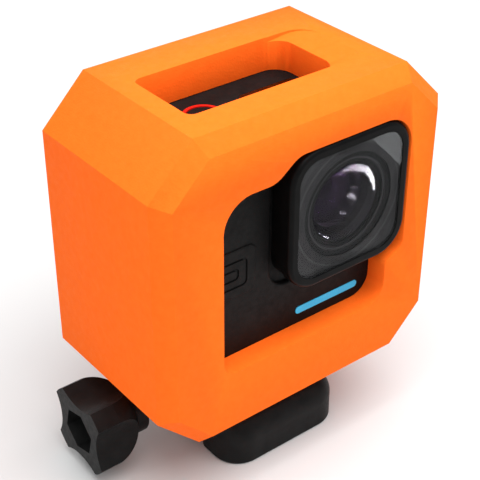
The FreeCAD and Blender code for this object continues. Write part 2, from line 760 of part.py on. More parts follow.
def shutter():
    """The shutter button in its red ring, with its return spring and dome switch."""
    place = (d.shutter_x, d.shutter_y)
    top = body_top
    collar = Piece("shutter_ring")
    collar.pad("Z", top - 1.1, 1.25, place, ring(d.ring_inner, d.ring_outer))
    button = Piece("shutter_button")
    button.pad("Z", top - 1.6, 1.75, place, disc(d.shutter_radius))
    button.round(0.4, level("Z", top + 0.15))
    button.pad("Z", top - 2.2, 0.65, place, disc(d.ring_outer - 0.15))
    button.pad("Z", top - 4.3, 2.15, place, disc(0.9))
    base = Piece("shutter_switch")
    base.pad("Z", top - 6.0, 0.8, place, plate(8.0, 8.0, 0.8))
    base.pad("Z", top - 5.2, 0.25, place, disc(1.1))
    spring("shutter_spring", place, top - 5.15, 2.85, 1.8, 0.22, 3.5)


def spring(name, place, low, height, radius, wire, turns):
    """A helical spring, swept from one round wire section."""
    pitch = (height - 2 * wire) / turns
    helix = Part.makeHelix(pitch, height - 2 * wire, radius)
    section = Part.Wire(Part.Circle(Vector(radius, 0, 0), Vector(0, 1, 0), wire).toShape())
    solid = Part.Wire(helix.Edges).makePipeShell([section], True, True)
    feature = doc.addObject("Part::Feature", name)
    feature.Label = name
    feature.Shape = solid
    feature.Placement = Placement(Vector(value_of(place[0]), value_of(place[1]), value_of(low) + wire),
                                  Rotation())
    return feature


def mode_button():
    place = (d.mode_x, d.mode_y)
    top = body_top
    button = Piece("mode_button")
    button.pad("Z", top - 1.7, 1.8, place, disc(d.mode_radius))
    button.round(0.3, level("Z", top + 0.1))
    button.pad("Z", top - 2.2, 0.55, place, disc(2.4))
    button.pad("Z", top - 3.0, 0.85, place, disc(0.7))
    base = Piece("mode_switch")
    base.pad("Z", top - 4.8, 0.9, place, plate(4.6, 4.6, 0.5))
    base.pad("Z", top - 3.9, 0.35, place, disc(0.9))


def status_display():
    top = body_top
    place = (d.status_x, d.status_y)
    glass = Piece("status_window")
    glass.pad("Z", top - 1.0, 1.0, place, plate(d.status_width - 0.1, d.status_depth - 0.1, 1.15))
    module = Piece("status_module")
    module.pad("Z", top - 2.4, 1.35, place, plate(d.status_width - 0.8, d.status_depth - 0.8, 0.8))
    light = Piece("status_light")
    light.pad("Z", top - 1.3, 1.35, (-16.8, -6.0), disc(0.7))
    light.round(0.2, level("Z", top + 0.05))
    cap = Piece("microphone_cap")
    cap.pad("Z", top - 1.2, 1.1, (-16.8, -11.5), disc(1.2))


# ---------------------------------------------------------------- mounting fingers

def finger_bay():
    """The tray in the camera's floor that the bottom fingers fold into."""
    piece = Piece("finger_bay")
    half_x, half_y = BAY_HALF
    piece.pad("Z", d.body_base + 0.1, bay_depth + 0.7, (0, 0),
              plate((half_x + BAY_WALL) * 2, (half_y + BAY_WALL) * 2, 1.0))
    piece.pocket("Z", d.body_base - THROUGH, bay_depth + THROUGH, (0, 0),
                 plate(half_x * 2, half_y * 2, 0.8))
    return piece


def finger(name, side, axis_along, pivot, reach):
    """One folding finger. axis_along is "Z" for a finger that hangs down, "X" when folded."""
    piece = Piece(name)
    radius = value_of(d.finger_radius)
    knuckle = value_of(d.finger_thick) / 2
    thick = d.finger_thick
    if axis_along == "Z":
        # hanging: the flat faces are square to X
        start = side * pivot_x - thick / 2
        hole_z = pivot - reach
        piece.pad("X", start, thick, (0, 0), outline(
            (-radius, pivot + knuckle, 0), (-radius, hole_z - radius, 7.2),
            (radius, hole_z - radius, 7.2), (radius, pivot + knuckle, 0)))
        piece.round(knuckle - 0.02, both(along("Y"), level("Z", pivot + knuckle)))
        piece.pocket("X", start - THROUGH, thick + THROUGH * 2, (0, hole_z), disc(d.finger_bore))
        piece.pocket("Y", -radius - THROUGH, radius * 2 + THROUGH * 2, (side * pivot_x, pivot),
                     disc(d.pivot_radius))
        return piece
    # folded: the flat faces are square to Y
    start = pivot - thick / 2
    inner = side * value_of(pivot_x) - side * knuckle
    hole_x = side * (value_of(pivot_x) + value_of(reach))
    outer = hole_x + side * radius
    middle = value_of(body_middle)
    piece.pad("Y", start, thick, (0, 0), outline(
        (inner, middle - radius, 0), (outer, middle - radius, 7.2),
        (outer, middle + radius, 7.2), (inner, middle + radius, 0)))
    piece.round(knuckle - 0.02, both(along("Z"), level("X", inner)))
    piece.pocket("Y", start - THROUGH, thick + THROUGH * 2, (hole_x, middle), disc(d.finger_bore))
    piece.pocket("Z", middle - radius - THROUGH, radius * 2 + THROUGH * 2, (side * pivot_x, pivot),
                 disc(d.pivot_radius))
    return piece


def fingers():
    reach = bottom_pivot_z - d.clamp_z
    finger("bottom_finger_left", -1, "Z", bottom_pivot_z, reach)
    finger("bottom_finger_right", 1, "Z", bottom_pivot_z, reach)
    finger("rear_finger_left", -1, "X", rear_pivot_y, d.rear_reach)
    finger("rear_finger_right", 1, "X", rear_pivot_y, d.rear_reach)
    pins("bottom_finger_pins", "Y", -8.2, 16.4, bottom_pivot_z)
    pins("rear_finger_pins", "Z", body_middle - 8.5, 17.0, rear_pivot_y)


def pins(name, axis, start, length, height):
    """The pair of pins that the fingers turn on."""
    members = []
    for side, word in ((-1, "left"), (1, "right")):
        pin = doc.addObject("Part::Cylinder", "%s_%s" % (name, word))
        pin.Radius = value_of(d.pivot_radius) - 0.05
        pin.Height = value_of(length)
        pin.setExpression("Radius", "dims.pivot_radius - 0.05")
        x = side * value_of(pivot_x)
        if axis == "Y":
            pin.Placement = Placement(Vector(x, value_of(start), value_of(height)),
                                      Rotation(Vector(1, 0, 0), -90))
        else:
            pin.Placement = Placement(Vector(x, value_of(height), value_of(start)), Rotation())
        members.append(pin)
    return group(name, members)


def pin_holes():
    """Bores in the bay and the heat sink for the ends of the finger pins."""
    for side in (-1, 1):
        PIECES["finger_bay"].pocket("Y", -8.3, 16.6, (side * pivot_x, bottom_pivot_z), disc(0.76))
        PIECES["heat_sink"].pocket("Z", body_middle - 8.55, 17.1, (side * pivot_x, rear_pivot_y),
                                   disc(0.76))


# ---------------------------------------------------------------- clamp screw and knob

def thumb_knob():
    """A four-lobed knob with a hexagon socket, a collar, and a long sleeve."""
    piece = Piece("thumb_knob")
    axis_place = (0, d.clamp_z)
    length = d.knob_end - d.knob_face
    piece.pad("X", d.knob_face, length, axis_place, lobes())
    profile = knob_profile()
    piece.turn("Groove", "Z", (0, 0), d.clamp_z, "H_Axis", profile)
    piece.pad("X", d.knob_end, -7.65 - d.knob_end, axis_place, disc(d.knob_sleeve))
    piece.pocket("X", d.knob_face - THROUGH, d.knob_socket + THROUGH, axis_place,
                 hexagon(value_of(d.knob_hex), 45))
    piece.pocket("X", d.knob_face, 40.0, axis_place, disc(d.shank_radius))
    return piece


def lobes():
    """The knob's end outline: four lobes on the diagonals, joined by hollow arcs."""
    tip, waist = value_of(d.knob_lobe), value_of(d.knob_waist)
    spread = math.radians(12.0)

    def at(radius, angle):
        return Vector(radius * math.cos(angle), radius * math.sin(angle), 0)

    def draw(sketch):
        for quarter in range(4):
            middle = math.pi / 4 + quarter * math.pi / 2
            after = middle + math.pi / 2
            sketch.addGeometry(Part.Arc(at(tip, middle - spread), at(tip, middle),
                                        at(tip, middle + spread)), False)
            sketch.addGeometry(Part.Arc(at(tip, middle + spread), at(waist, middle + math.pi / 4),
                                        at(tip, after - spread)), False)
    return draw


def knob_profile():
    """What is turned away behind the lobes: a dome that runs down to the round collar."""
    face, end = value_of(d.knob_face), value_of(d.knob_end)
    tip, collar = value_of(d.knob_lobe), value_of(d.knob_collar)
    dome_start, dome_end = face + 3.0, end - 2.6
    outside = tip + 3.0

    def draw(sketch):
        start = Vector(dome_start, tip + 0.05, 0)
        middle = Vector(dome_start + (dome_end - dome_start) * 0.62, tip - 0.95, 0)
        stop = Vector(dome_end, collar, 0)
        sketch.addGeometry(Part.Arc(start, middle, stop), False)
        rest = [stop, Vector(end + 1.0, collar, 0), Vector(end + 1.0, outside, 0),
                Vector(dome_start, outside, 0), start]
        for first, second in zip(rest, rest[1:]):
            sketch.addGeometry(Part.LineSegment(first, second), False)
    return draw


def clamp_screw():
    """A hexagon-head screw that runs through the knob, the fingers and the nut."""
    piece = Piece("clamp_screw")
    seat = d.knob_face + d.knob_socket
    piece.pad("X", seat - 3.5, 3.5, (0, d.clamp_z), hexagon(4.62, 45))
    piece.pad("X", seat, d.boss_end + 0.6 - seat, (0, d.clamp_z), disc(d.shank_radius))
    piece.bevel(0.5, level("X", d.boss_end + 0.6))
    return piece


def lock_nut():
    piece = Piece("lock_nut")
    start = d.boss_end - 0.3 - d.nut_thick
    piece.pad("X", start, d.nut_thick, (0, d.clamp_z), hexagon(4.6, 30))
    piece.pocket("X", start - THROUGH, d.nut_thick + THROUGH * 2, (0, d.clamp_z),
                 disc(d.finger_bore))
    return piece


# ---------------------------------------------------------------- buckle

def buckle_body():
    """The nose block, the tongue behind it, and the three prongs that stand on the tongue."""
    piece = Piece("buckle_body")
    front = -d.buckle_half_length
    nose_depth = d.nose_rear - front
    nose(piece, front, nose_depth)
    piece.pad("Z", 0, d.tongue_height, (0, (d.nose_rear - 1.0 + d.buckle_half_length) / 2),
              plate(d.tongue_half_width * 2, d.buckle_half_length - d.nose_rear + 1.0, 1.5))
    inner = d.finger_gap / 2 - d.prong_play
    outer = d.finger_gap / 2 + d.finger_thick + d.prong_play
    prong = outline((-d.finger_radius, 1.0, 0), (d.finger_radius, 1.0, 0),
                    (d.finger_radius, d.clamp_z + d.finger_radius, 7.2),
                    (-d.finger_radius, d.clamp_z + d.finger_radius, 7.2))
    piece.pad("X", -inner, inner * 2, (0, 0), prong)
    piece.pad("X", outer, 7.5 - outer, (0, 0), prong)
    piece.pad("X", -7.5, 7.5 - outer, (0, 0), prong)
    piece.pad("X", 7.4, d.boss_end - 7.4, (0, d.clamp_z), disc(d.boss_radius))
    relief = d.finger_radius + 0.35
    piece.pocket("X", inner, outer - inner, (0, d.clamp_z), disc(relief))
    piece.pocket("X", -outer, outer - inner, (0, d.clamp_z), disc(relief))
    piece.pocket("X", d.boss_end - d.nut_thick - 0.3, d.nut_thick + THROUGH, (0, d.clamp_z),
                 hexagon(4.66, 30))
    piece.pocket("X", -9.0, 24.0, (0, d.clamp_z), disc(d.finger_bore))
    return piece


def nose(piece, front, depth):
    """A block with rounded front corners whose top rolls over towards the float."""
    half = d.buckle_half_width
    piece.pad("Z", 0, d.nose_height, (0, front + depth / 2), outline(
        (-half, -depth / 2, d.nose_corner), (half, -depth / 2, d.nose_corner),
        (half, depth / 2, 2.0), (-half, depth / 2, 2.0)))
    piece.round(5.0, both(level("Z", d.nose_height), within("Y", front - 1, d.nose_rear - 0.5)))
    piece.round(0.6, level("Z", 0))


def squeeze_arm(name, side):
    """A side arm of the buckle, pressed inwards to let the buckle out of its base."""
    piece = Piece(name)
    inner, outer = value_of(d.arm_inner), value_of(d.buckle_half_width)
    middle = (inner + outer) / 2
    half = (outer - inner) / 2
    pivot_y = value_of(d.arm_pivot_y)
    tail = value_of(d.buckle_half_length)
    corners = ((middle - half, pivot_y - half, half - 0.02), (middle + half, pivot_y - half, half - 0.02),
               (middle + half, tail, 1.2), (middle - half, tail, 1.2))
    if side < 0:
        corners = tuple((-u, v, radius) for u, v, radius in corners)
    piece.pad("Z", 0.3, d.arm_height, (0, 0), outline(*corners))
    piece.round(0.5, level("Z", 0.3 + d.arm_height))
    return piece


# ---------------------------------------------------------------- the whole assembly

PIECES = {}
for build in (float_foam, front_shell, front_panel, speaker_cover, accent_strip, body_gasket,
              rear_shell, heat_sink, side_door, door_seal, door_latch, lens_turret,
              lens_cover_seal, lens_cover_frame, lens_cover_glass, lens_cover_mask, lens_barrel,
              finger_bay, thumb_knob, clamp_screw, lock_nut, buckle_body):
    made = build()
    PIECES[made.name] = made

body_screws()
lens_elements()
electronics()
shutter()
mode_button()
status_display()
fingers()
pin_holes()
squeeze_arm("squeeze_arm_left", -1)
squeeze_arm("squeeze_arm_right", 1)

doc.recompute()
for item in doc.Objects:
    if "Invalid" in item.State or "Error" in item.State:
        raise RuntimeError("%s failed: %s" % (item.Name, item.State))

nodes = [item for item in doc.Objects
         if item.TypeId in ("PartDesign::Body", "Part::Compound", "Part::Feature")]
for node in nodes:
    if node.Shape.isNull() or not node.Shape.isValid():
        raise RuntimeError("%s has no valid shape" % node.Label)

os.makedirs("parts", exist_ok=True)
for node in nodes:
    node.Shape.exportStep("parts/%s.step" % node.Label)
    print("%-22s %10.2f mm3  %d solids" % (node.Label, node.Shape.Volume, len(node.Shape.Solids)))
print("nodes:", len(nodes))
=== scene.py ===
import math

import bmesh
import bpy
from mathutils import Matrix, Vector


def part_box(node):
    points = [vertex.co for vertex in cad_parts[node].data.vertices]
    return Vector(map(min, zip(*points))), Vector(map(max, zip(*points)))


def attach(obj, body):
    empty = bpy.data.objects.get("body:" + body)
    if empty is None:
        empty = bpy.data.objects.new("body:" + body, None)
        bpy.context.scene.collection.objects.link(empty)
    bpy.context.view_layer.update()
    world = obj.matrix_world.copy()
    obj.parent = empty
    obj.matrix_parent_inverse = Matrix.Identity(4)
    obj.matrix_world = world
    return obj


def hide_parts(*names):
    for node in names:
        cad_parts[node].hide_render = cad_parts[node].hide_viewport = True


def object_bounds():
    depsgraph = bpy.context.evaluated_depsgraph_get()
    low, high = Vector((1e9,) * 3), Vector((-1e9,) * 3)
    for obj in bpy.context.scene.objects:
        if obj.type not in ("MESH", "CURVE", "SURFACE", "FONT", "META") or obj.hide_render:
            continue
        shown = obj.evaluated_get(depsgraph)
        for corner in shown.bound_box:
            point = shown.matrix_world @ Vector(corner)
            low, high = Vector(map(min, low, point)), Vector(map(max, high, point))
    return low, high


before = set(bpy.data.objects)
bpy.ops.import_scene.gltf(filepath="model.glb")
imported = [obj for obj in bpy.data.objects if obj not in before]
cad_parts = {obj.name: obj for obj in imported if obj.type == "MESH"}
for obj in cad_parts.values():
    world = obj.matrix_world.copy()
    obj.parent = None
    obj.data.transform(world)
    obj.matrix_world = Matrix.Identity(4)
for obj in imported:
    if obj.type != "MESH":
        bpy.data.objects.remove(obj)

# The looks of a cube action camera in a foam float, on its clamp and buckle.
# Metres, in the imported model's frame: the lens looks along -Y and +Z is up.

MM = 0.001
cad_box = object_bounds()


# ---------------------------------------------------------------- camera, floor and lights

CAMERA_PLACE = Vector((-126.546, -164.007, 176.371)) * MM
CAMERA_AZIMUTH, CAMERA_ELEVATION, CAMERA_ROLL = (math.radians(a) for a in (-38.261, 33.156, 0.153))
CAMERA_LENS, CAMERA_SENSOR = 90.62, 36.0


def make_camera():
    """The camera of the photograph, solved from the float's straight edges."""
    azimuth, elevation, roll = CAMERA_AZIMUTH, CAMERA_ELEVATION, CAMERA_ROLL
    flat = math.cos(elevation)
    back = Vector((math.sin(azimuth) * flat, -math.cos(azimuth) * flat, math.sin(elevation)))
    level = Vector((math.cos(azimuth), math.sin(azimuth), 0))
    upright = back.cross(level)
    right = level * math.cos(roll) + upright * math.sin(roll)
    up = upright * math.cos(roll) - level * math.sin(roll)
    lens = bpy.data.cameras.new("photo_camera")
    lens.lens = CAMERA_LENS
    lens.sensor_width = CAMERA_SENSOR
    lens.clip_start = 10 * MM
    camera = bpy.data.objects.new("photo_camera", lens)
    turn = Matrix((right, up, back)).transposed().to_4x4()
    camera.matrix_world = Matrix.Translation(CAMERA_PLACE) @ turn
    bpy.context.scene.collection.objects.link(camera)
    bpy.context.scene.camera = camera


def area_light(name, place, target, size, power, along=(0, 0, 1), shape="RECTANGLE"):
    """A soft lamp of (length, width) at place that faces target, its length along the axis given."""
    lamp = bpy.data.lights.new(name, "AREA")
    lamp.shape = shape
    lamp.size, lamp.size_y = size
    lamp.energy = power
    back = (Vector(place) - Vector(target)).normalized()
    across = back.cross(Vector(along)).normalized()
    turn = Matrix((across.cross(back), across, back)).transposed()
    light = bpy.data.objects.new(name, lamp)
    light.matrix_world = Matrix.Translation(place) @ turn.to_4x4()
    light.visible_camera = False
    bpy.context.scene.collection.objects.link(light)
    return light


WORLD_STRENGTH = 0.6
FLOOR_SIZE, FLOOR_GREY = 4.0, 0.6
FLOOR_GAP = 0.02 * MM

# Soft lamps that face the object's middle: name, place from the middle, size, watts, and the way
# that the lamp's length runs.
STUDIO_LAMPS = (
    ("key_light", (0.06, -0.2, 0.6), (0.8, 0.6), 7.0, (1, 0, 0)),
    ("left_light", (-0.5, -0.05, 0.12), (0.4, 0.3), 0.45, (0, 0, 1)),
    ("back_light", (0.1, 0.5, 0.25), (0.5, 0.3), 1.0, (0, 0, 1)),
)
BROW_PLACE = Vector((-0.005, -0.03, 0.165))
BROW_SIZE, BROW_POWER = (0.07, 0.03), 0.032

DOME_RADIUS = 38.1 * MM
GLINT_AWAY = 50 * MM
# Arcs of light that the front element mirrors: how far from its middle the arc lies, the angles
# that it runs between, the width of its lamps in the middle of the row, their brightness and number.
GLINTS = (
    (7.1 * MM, 0, 108, 3.6 * MM, 300.0, 17),
    (7.4 * MM, 202, 246, 1.2 * MM, 200.0, 8),
    (1.9 * MM, -5, 115, 1.7 * MM, 260.0, 9),
    (2.1 * MM, 190, 280, 1.4 * MM, 160.0, 8),
    (3.5 * MM, 30, 105, 1.5 * MM, 60.0, 9),
    (0.2 * MM, 200, 200, 2.2 * MM, 300.0, 1),
)
GLINT_END_WIDTH = 0.3
SHEEN_INSET, SHEEN_AWAY = 1.5 * MM, 100 * MM
SHEEN_SIZE, SHEEN_POWER = (0.04, 0.011), 0.01


def make_world():
    world = bpy.data.worlds.new("studio")
    world.use_nodes = True
    sky = world.node_tree.nodes["Background"]
    sky.inputs["Color"].default_value = (1.0, 1.0, 1.0, 1)
    sky.inputs["Strength"].default_value = WORLD_STRENGTH
    bpy.context.scene.world = world
    bpy.context.scene.view_settings.view_transform = "Standard"


def make_floor():
    bpy.ops.mesh.primitive_plane_add(size=FLOOR_SIZE)
    floor = bpy.context.object
    floor.name = "floor"
    floor.location.z = cad_box[0].z - FLOOR_GAP
    paper = bpy.data.materials.new("pale_floor")
    paper.use_nodes = True
    shader = paper.node_tree.nodes["Principled BSDF"]
    shader.inputs["Base Color"].default_value = (FLOOR_GREY, FLOOR_GREY, FLOOR_GREY, 1)
    shader.inputs["Roughness"].default_value = 0.9
    shader.inputs["Specular IOR Level"].default_value = 0.1
    floor.data.materials.append(paper)


def studio_lamps():
    middle = (cad_box[0] + cad_box[1]) / 2
    for name, place, size, power, along in STUDIO_LAMPS:
        area_light(name, middle + Vector(place), middle, size, power, along)
    below = BROW_PLACE - Vector((0, 0, 1))
    area_light("brow_light", BROW_PLACE, below, BROW_SIZE, BROW_POWER, (1, 0, 0))


def light_only(node, lamps, group):
    """Keep the lamps' light to one CAD node."""
    lit = bpy.data.collections.new(group)
    lit.objects.link(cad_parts[node])
    for lamp in lamps:
        lamp.light_linking.receiver_collection = lit


def lens_glints():
    """Small lamps for the front element alone, each where a point of its dome mirrors it."""
    low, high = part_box("lens_front_element")
    centre = Vector(((low.x + high.x) / 2, low.y + DOME_RADIUS, (low.z + high.z) / 2))
    lamps = []
    for reach, start, end, widest, brightness, count in GLINTS:
        tilt = math.asin(reach / DOME_RADIUS)
        for number in range(count):
            along_row = (number + 0.5) / count
            turn = math.radians(start + (end - start) * along_row)
            out = Vector((math.cos(turn), 0, math.sin(turn)))
            normal = out * math.sin(tilt) + Vector((0, -math.cos(tilt), 0))
            spot = centre + normal * DOME_RADIUS
            sight = (CAMERA_PLACE - spot).normalized()
            away = normal * 2 * normal.dot(sight) - sight
            swell = GLINT_END_WIDTH + (1 - GLINT_END_WIDTH) * math.sin(math.pi * along_row)
            size = (widest * swell, widest * swell)
            power = brightness * size[0] ** 2
            place = spot + away * GLINT_AWAY
            lamps.append(area_light("lens_glint", place, spot, size, power, shape="ELLIPSE"))
    light_only("lens_front_element", lamps, "lens_elements")


def corner_sheen():
    """A lamp for the cover glass alone, mirrored in its upper right corner."""
    low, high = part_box("lens_cover_glass")
    corner = Vector((high.x - SHEEN_INSET, low.y, high.z - SHEEN_INSET))
    sight = (corner - CAMERA_PLACE).normalized()
    away = Vector((sight.x, -sight.y, sight.z))
    place = corner + away * SHEEN_AWAY
    lamp = area_light("corner_sheen", place, corner, SHEEN_SIZE, SHEEN_POWER, (1, 0, -1))
    light_only("lens_cover_glass", [lamp], "cover_glass_only")


# ---------------------------------------------------------------- materials

class Finish:
    """A material: one Principled shader, and patterns placed in the object's own metres."""

    def __init__(self, name, colour, roughness, **sockets):
        self.material = bpy.data.materials.new(name)
        self.material.use_nodes = True
        self.tree = self.material.node_tree
        self.shader = self.tree.nodes["Principled BSDF"]
        self.output = self.tree.nodes["Material Output"]
        self.place = self.node("ShaderNodeTexCoord").outputs["Object"]
        self.set("Base Color", (*colour, 1))
        self.set("Roughness", roughness)
        for socket, value in sockets.items():
            self.set(SOCKETS[socket], value)

    def set(self, socket, value):
        self.shader.inputs[socket].default_value = value

    def node(self, kind, **inputs):
        made = self.tree.nodes.new(kind)
        for name, value in inputs.items():
            self.feed(made.inputs[name], value)
        return made

    def feed(self, socket, value):
        """Link a pattern to the socket, or set a plain value there."""
        if isinstance(value, bpy.types.NodeSocket):
            self.tree.links.new(value, socket)
        else:
            socket.default_value = value

    def math(self, operation, first, second=0.0):
        made = self.node("ShaderNodeMath")
        made.operation = operation
        self.feed(made.inputs[0], first)
        self.feed(made.inputs[1], second)
        return made.outputs[0]

    def noise(self, size, detail=3.0, stretch=(1, 1, 1)):
        """Soft random clouds about size metres across, longer along the axes stretched."""
        scale = [1 / (size * k) for k in stretch]
        where = self.node("ShaderNodeMapping", Vector=self.place, Scale=scale).outputs[0]
        return self.node("ShaderNodeTexNoise", Vector=where, Scale=1.0, Detail=detail).outputs[0]

    def cells(self, size):
        """Rounded cells about size metres across, 0 in their middles."""
        return self.node("ShaderNodeTexVoronoi", Vector=self.place, Scale=1 / size).outputs["Distance"]

    def span(self, pattern, low, high, start=0.3, end=0.7):
        """The pattern's values from start to end, spread over low to high."""
        ends = {"From Min": start, "From Max": end, "To Min": low, "To Max": high}
        return self.node("ShaderNodeMapRange", Value=pattern, **ends).outputs[0]

    def tint(self, pattern, dark, light, start=0.3, end=0.7):
        """Colour the surface from dark to light by the pattern."""
        ramp = self.node("ShaderNodeValToRGB", Fac=pattern)
        for stop, place, colour in zip(ramp.color_ramp.elements, (start, end), (dark, light)):
            stop.position = place
            stop.color = (*colour, 1)
        self.feed(self.shader.inputs["Base Color"], ramp.outputs["Color"])

    def rings(self, inner, outer, *stops):
        """Grey rings round the lens: stops of (place, shade), from the inner to the outer radius."""
        low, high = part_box("lens_barrel")
        radius = self.reach((low + high) / 2, (1, 0, 1))
        ramp = self.node("ShaderNodeValToRGB", Fac=self.span(radius, 0.0, 1.0, inner, outer))
        elements = ramp.color_ramp.elements
        for place, shade in stops[1:-1]:
            elements.new(place).color = (shade, shade, shade, 1)
        for end, (_, shade) in ((elements[0], stops[0]), (elements[-1], stops[-1])):
            end.color = (shade, shade, shade, 1)
        self.feed(self.shader.inputs["Base Color"], ramp.outputs["Color"])

    def rough(self, pattern, low, high):
        self.feed(self.shader.inputs["Roughness"], self.span(pattern, low, high))

    def bump(self, *layers):
        """Raise the surface by each (pattern, height in metres) in turn."""
        normal = None
        for pattern, height in layers:
            made = self.node("ShaderNodeBump", Height=pattern, Distance=height, Strength=1.0)
            if normal is not None:
                self.feed(made.inputs["Normal"], normal)
            normal = made.outputs["Normal"]
        self.feed(self.shader.inputs["Normal"], normal)

    def reach(self, centre, axes):
        """The distance from centre, counted along the axes that are 1."""
        moved = self.node("ShaderNodeVectorMath")
        moved.operation = "SUBTRACT"
        self.feed(moved.inputs[0], self.place)
        moved.inputs[1].default_value = centre
        kept = self.node("ShaderNodeVectorMath")
        kept.operation = "MULTIPLY"
        self.feed(kept.inputs[0], moved.outputs[0])
        kept.inputs[1].default_value = axes
        length = self.node("ShaderNodeVectorMath")
        length.operation = "LENGTH"
        self.feed(length.inputs[0], kept.outputs[0])
        return length.outputs["Value"]


SOCKETS = {
    "metallic": "Metallic", "ior": "IOR", "specular": "Specular IOR Level",
    "coat": "Coat Weight", "coat_rough": "Coat Roughness", "clear": "Transmission Weight",
}


def foam_orange():
    """Closed-cell foam: a matte skin with fine pores and a slightly uneven dye."""
    f = Finish("foam_orange", (0.98, 0.15, 0.012), 0.7, specular=0.05)
    f.tint(f.noise(1.5 * MM, 4), (0.98, 0.142, 0.011), (0.995, 0.153, 0.013))
    f.rough(f.noise(1.2 * MM), 0.62, 0.82)
    swell, pores, skin = f.noise(3 * MM), f.cells(0.42 * MM), f.noise(0.16 * MM)
    f.bump((swell, 0.05 * MM), (pores, 0.025 * MM), (skin, 0.012 * MM))
    return f.material


def grained(name, dark, light, low, high, grain=0.22 * MM, depth=0.012 * MM, specular=0.1):
    """Black moulded plastic or rubber with a spark-eroded grain."""
    f = Finish(name, dark, low, specular=specular)
    f.tint(f.noise(2.6 * MM, 4), dark, light)
    f.rough(f.noise(1.1 * MM), low, high)
    f.bump((f.cells(grain), depth), (f.noise(grain * 0.6), depth * 0.6))
    return f.material


def satin(name, dark, light, low, high, specular=0.35, coat=0.0):
    """Smooth moulded plastic with a faint flow in its sheen."""
    f = Finish(name, dark, low, specular=specular, coat=coat, coat_rough=0.12)
    f.tint(f.noise(4 * MM), dark, light)
    f.rough(f.noise(2.2 * MM, 5), low, high)
    f.bump((f.noise(0.5 * MM), 0.002 * MM))
    return f.material


def metal(name, dark, light, low, high, stretch=(1, 1, 1), grain=0.3 * MM):
    """Bare or coated metal, its brushing drawn out along the stretched axes."""
    f = Finish(name, dark, low, metallic=1.0)
    brushing = f.noise(grain, 5, stretch)
    f.tint(brushing, dark, light)
    f.rough(brushing, low, high)
    f.bump((brushing, 0.004 * MM))
    return f.material


EDGE_FACING = 0.3


def glass(name, tint, mirror, specular, roughness, ior=1.5, inked=False):
    """Coated glass that bends what is behind it and lets lamps shine through. Mirror is the colour
    of its coating. An inked piece has its round edge blackened, as a lens element has."""
    f = Finish(name, tint, roughness, ior=ior, specular=specular, clear=1.0)
    f.set("Specular Tint", (*mirror, 1))
    f.rough(f.noise(3 * MM, 4), roughness, roughness * 2)
    lamps_through = f.node("ShaderNodeBsdfTransparent", Color=(*tint, 1))
    shadow = f.node("ShaderNodeLightPath").outputs["Is Shadow Ray"]
    mixed = f.node("ShaderNodeMixShader", Fac=shadow)
    f.feed(mixed.inputs[1], f.shader.outputs[0])
    f.feed(mixed.inputs[2], lamps_through.outputs[0])
    if inked:
        normal = f.node("ShaderNodeNewGeometry").outputs["Normal"]
        facing = f.math("ABSOLUTE", f.node("ShaderNodeSeparateXYZ", Vector=normal).outputs["Y"])
        ink = f.node("ShaderNodeBsdfDiffuse", Color=(0.003, 0.003, 0.003, 1))
        body = mixed
        mixed = f.node("ShaderNodeMixShader", Fac=f.math("LESS_THAN", facing, EDGE_FACING))
        f.feed(mixed.inputs[1], body.outputs[0])
        f.feed(mixed.inputs[2], ink.outputs[0])
    f.feed(f.output.inputs["Surface"], mixed.outputs[0])
    return f.material


def coated_pane(name, mirror, ior, roughness):
    """A thin flat pane with an anti-reflection coat: only its front mirrors, and faintly."""
    f = Finish(name, mirror, roughness)
    clear = f.node("ShaderNodeBsdfTransparent", Color=(0.97, 0.97, 0.98, 1))
    shine = f.node("ShaderNodeBsdfGlossy", Color=(*mirror, 1))
    f.feed(shine.inputs["Roughness"], f.span(f.noise(3 * MM, 4), roughness, roughness * 3))
    inside = f.node("ShaderNodeNewGeometry").outputs["Backfacing"]
    fresnel = f.node("ShaderNodeFresnel", IOR=ior).outputs[0]
    amount = f.math("SUBTRACT", fresnel, inside)
    mixed = f.node("ShaderNodeMixShader", Fac=f.math("MAXIMUM", amount))
    f.feed(mixed.inputs[1], clear.outputs[0])
    f.feed(mixed.inputs[2], shine.outputs[0])
    f.feed(f.output.inputs["Surface"], mixed.outputs[0])
    f.tree.nodes.remove(f.shader)
    return f.material


def barrel_black():
    """Matt black, with a lighter band painted at one radius: a painted highlight for the light that a
    light-trap ring's edge catches.
    """
    f = Finish("barrel_black", (0.004, 0.004, 0.004), 0.5, specular=0.1)
    # The 0.03 stops are a painted highlight in the colour, not the barrel's own tone.
    f.rings(7 * MM, 11 * MM, (0.0, 0.003), (0.56, 0.003), (0.6, 0.03),
            (0.66, 0.03), (0.7, 0.003), (1.0, 0.003))
    f.rough(f.noise(0.8 * MM), 0.45, 0.6)
    f.bump((f.noise(0.4 * MM), 0.002 * MM))
    return f.material


def mask_grey():
    """The dark border printed behind the cover glass, with one fine ring round the lens."""
    f = Finish("mask_grey", (0.018, 0.018, 0.018), 0.5, specular=0.2)
    f.rings(11 * MM, 16 * MM, (0.0, 0.006), (0.3, 0.008), (0.33, 0.032), (0.38, 0.025),
            (0.41, 0.01), (0.6, 0.011), (0.64, 0.017), (1.0, 0.018))
    f.rough(f.noise(2 * MM), 0.4, 0.55)
    f.bump((f.noise(0.3 * MM), 0.002 * MM))
    return f.material


def board_green():
    """Circuit board under its lacquer, with a faint pattern of tracks."""
    f = Finish("board_green", (0.01, 0.09, 0.03), 0.35, specular=0.4)
    f.tint(f.cells(1.4 * MM), (0.008, 0.07, 0.025), (0.02, 0.14, 0.05), 0.2, 0.5)
    f.rough(f.noise(1 * MM), 0.3, 0.5)
    f.bump((f.cells(0.9 * MM), 0.01 * MM))
    return f.material


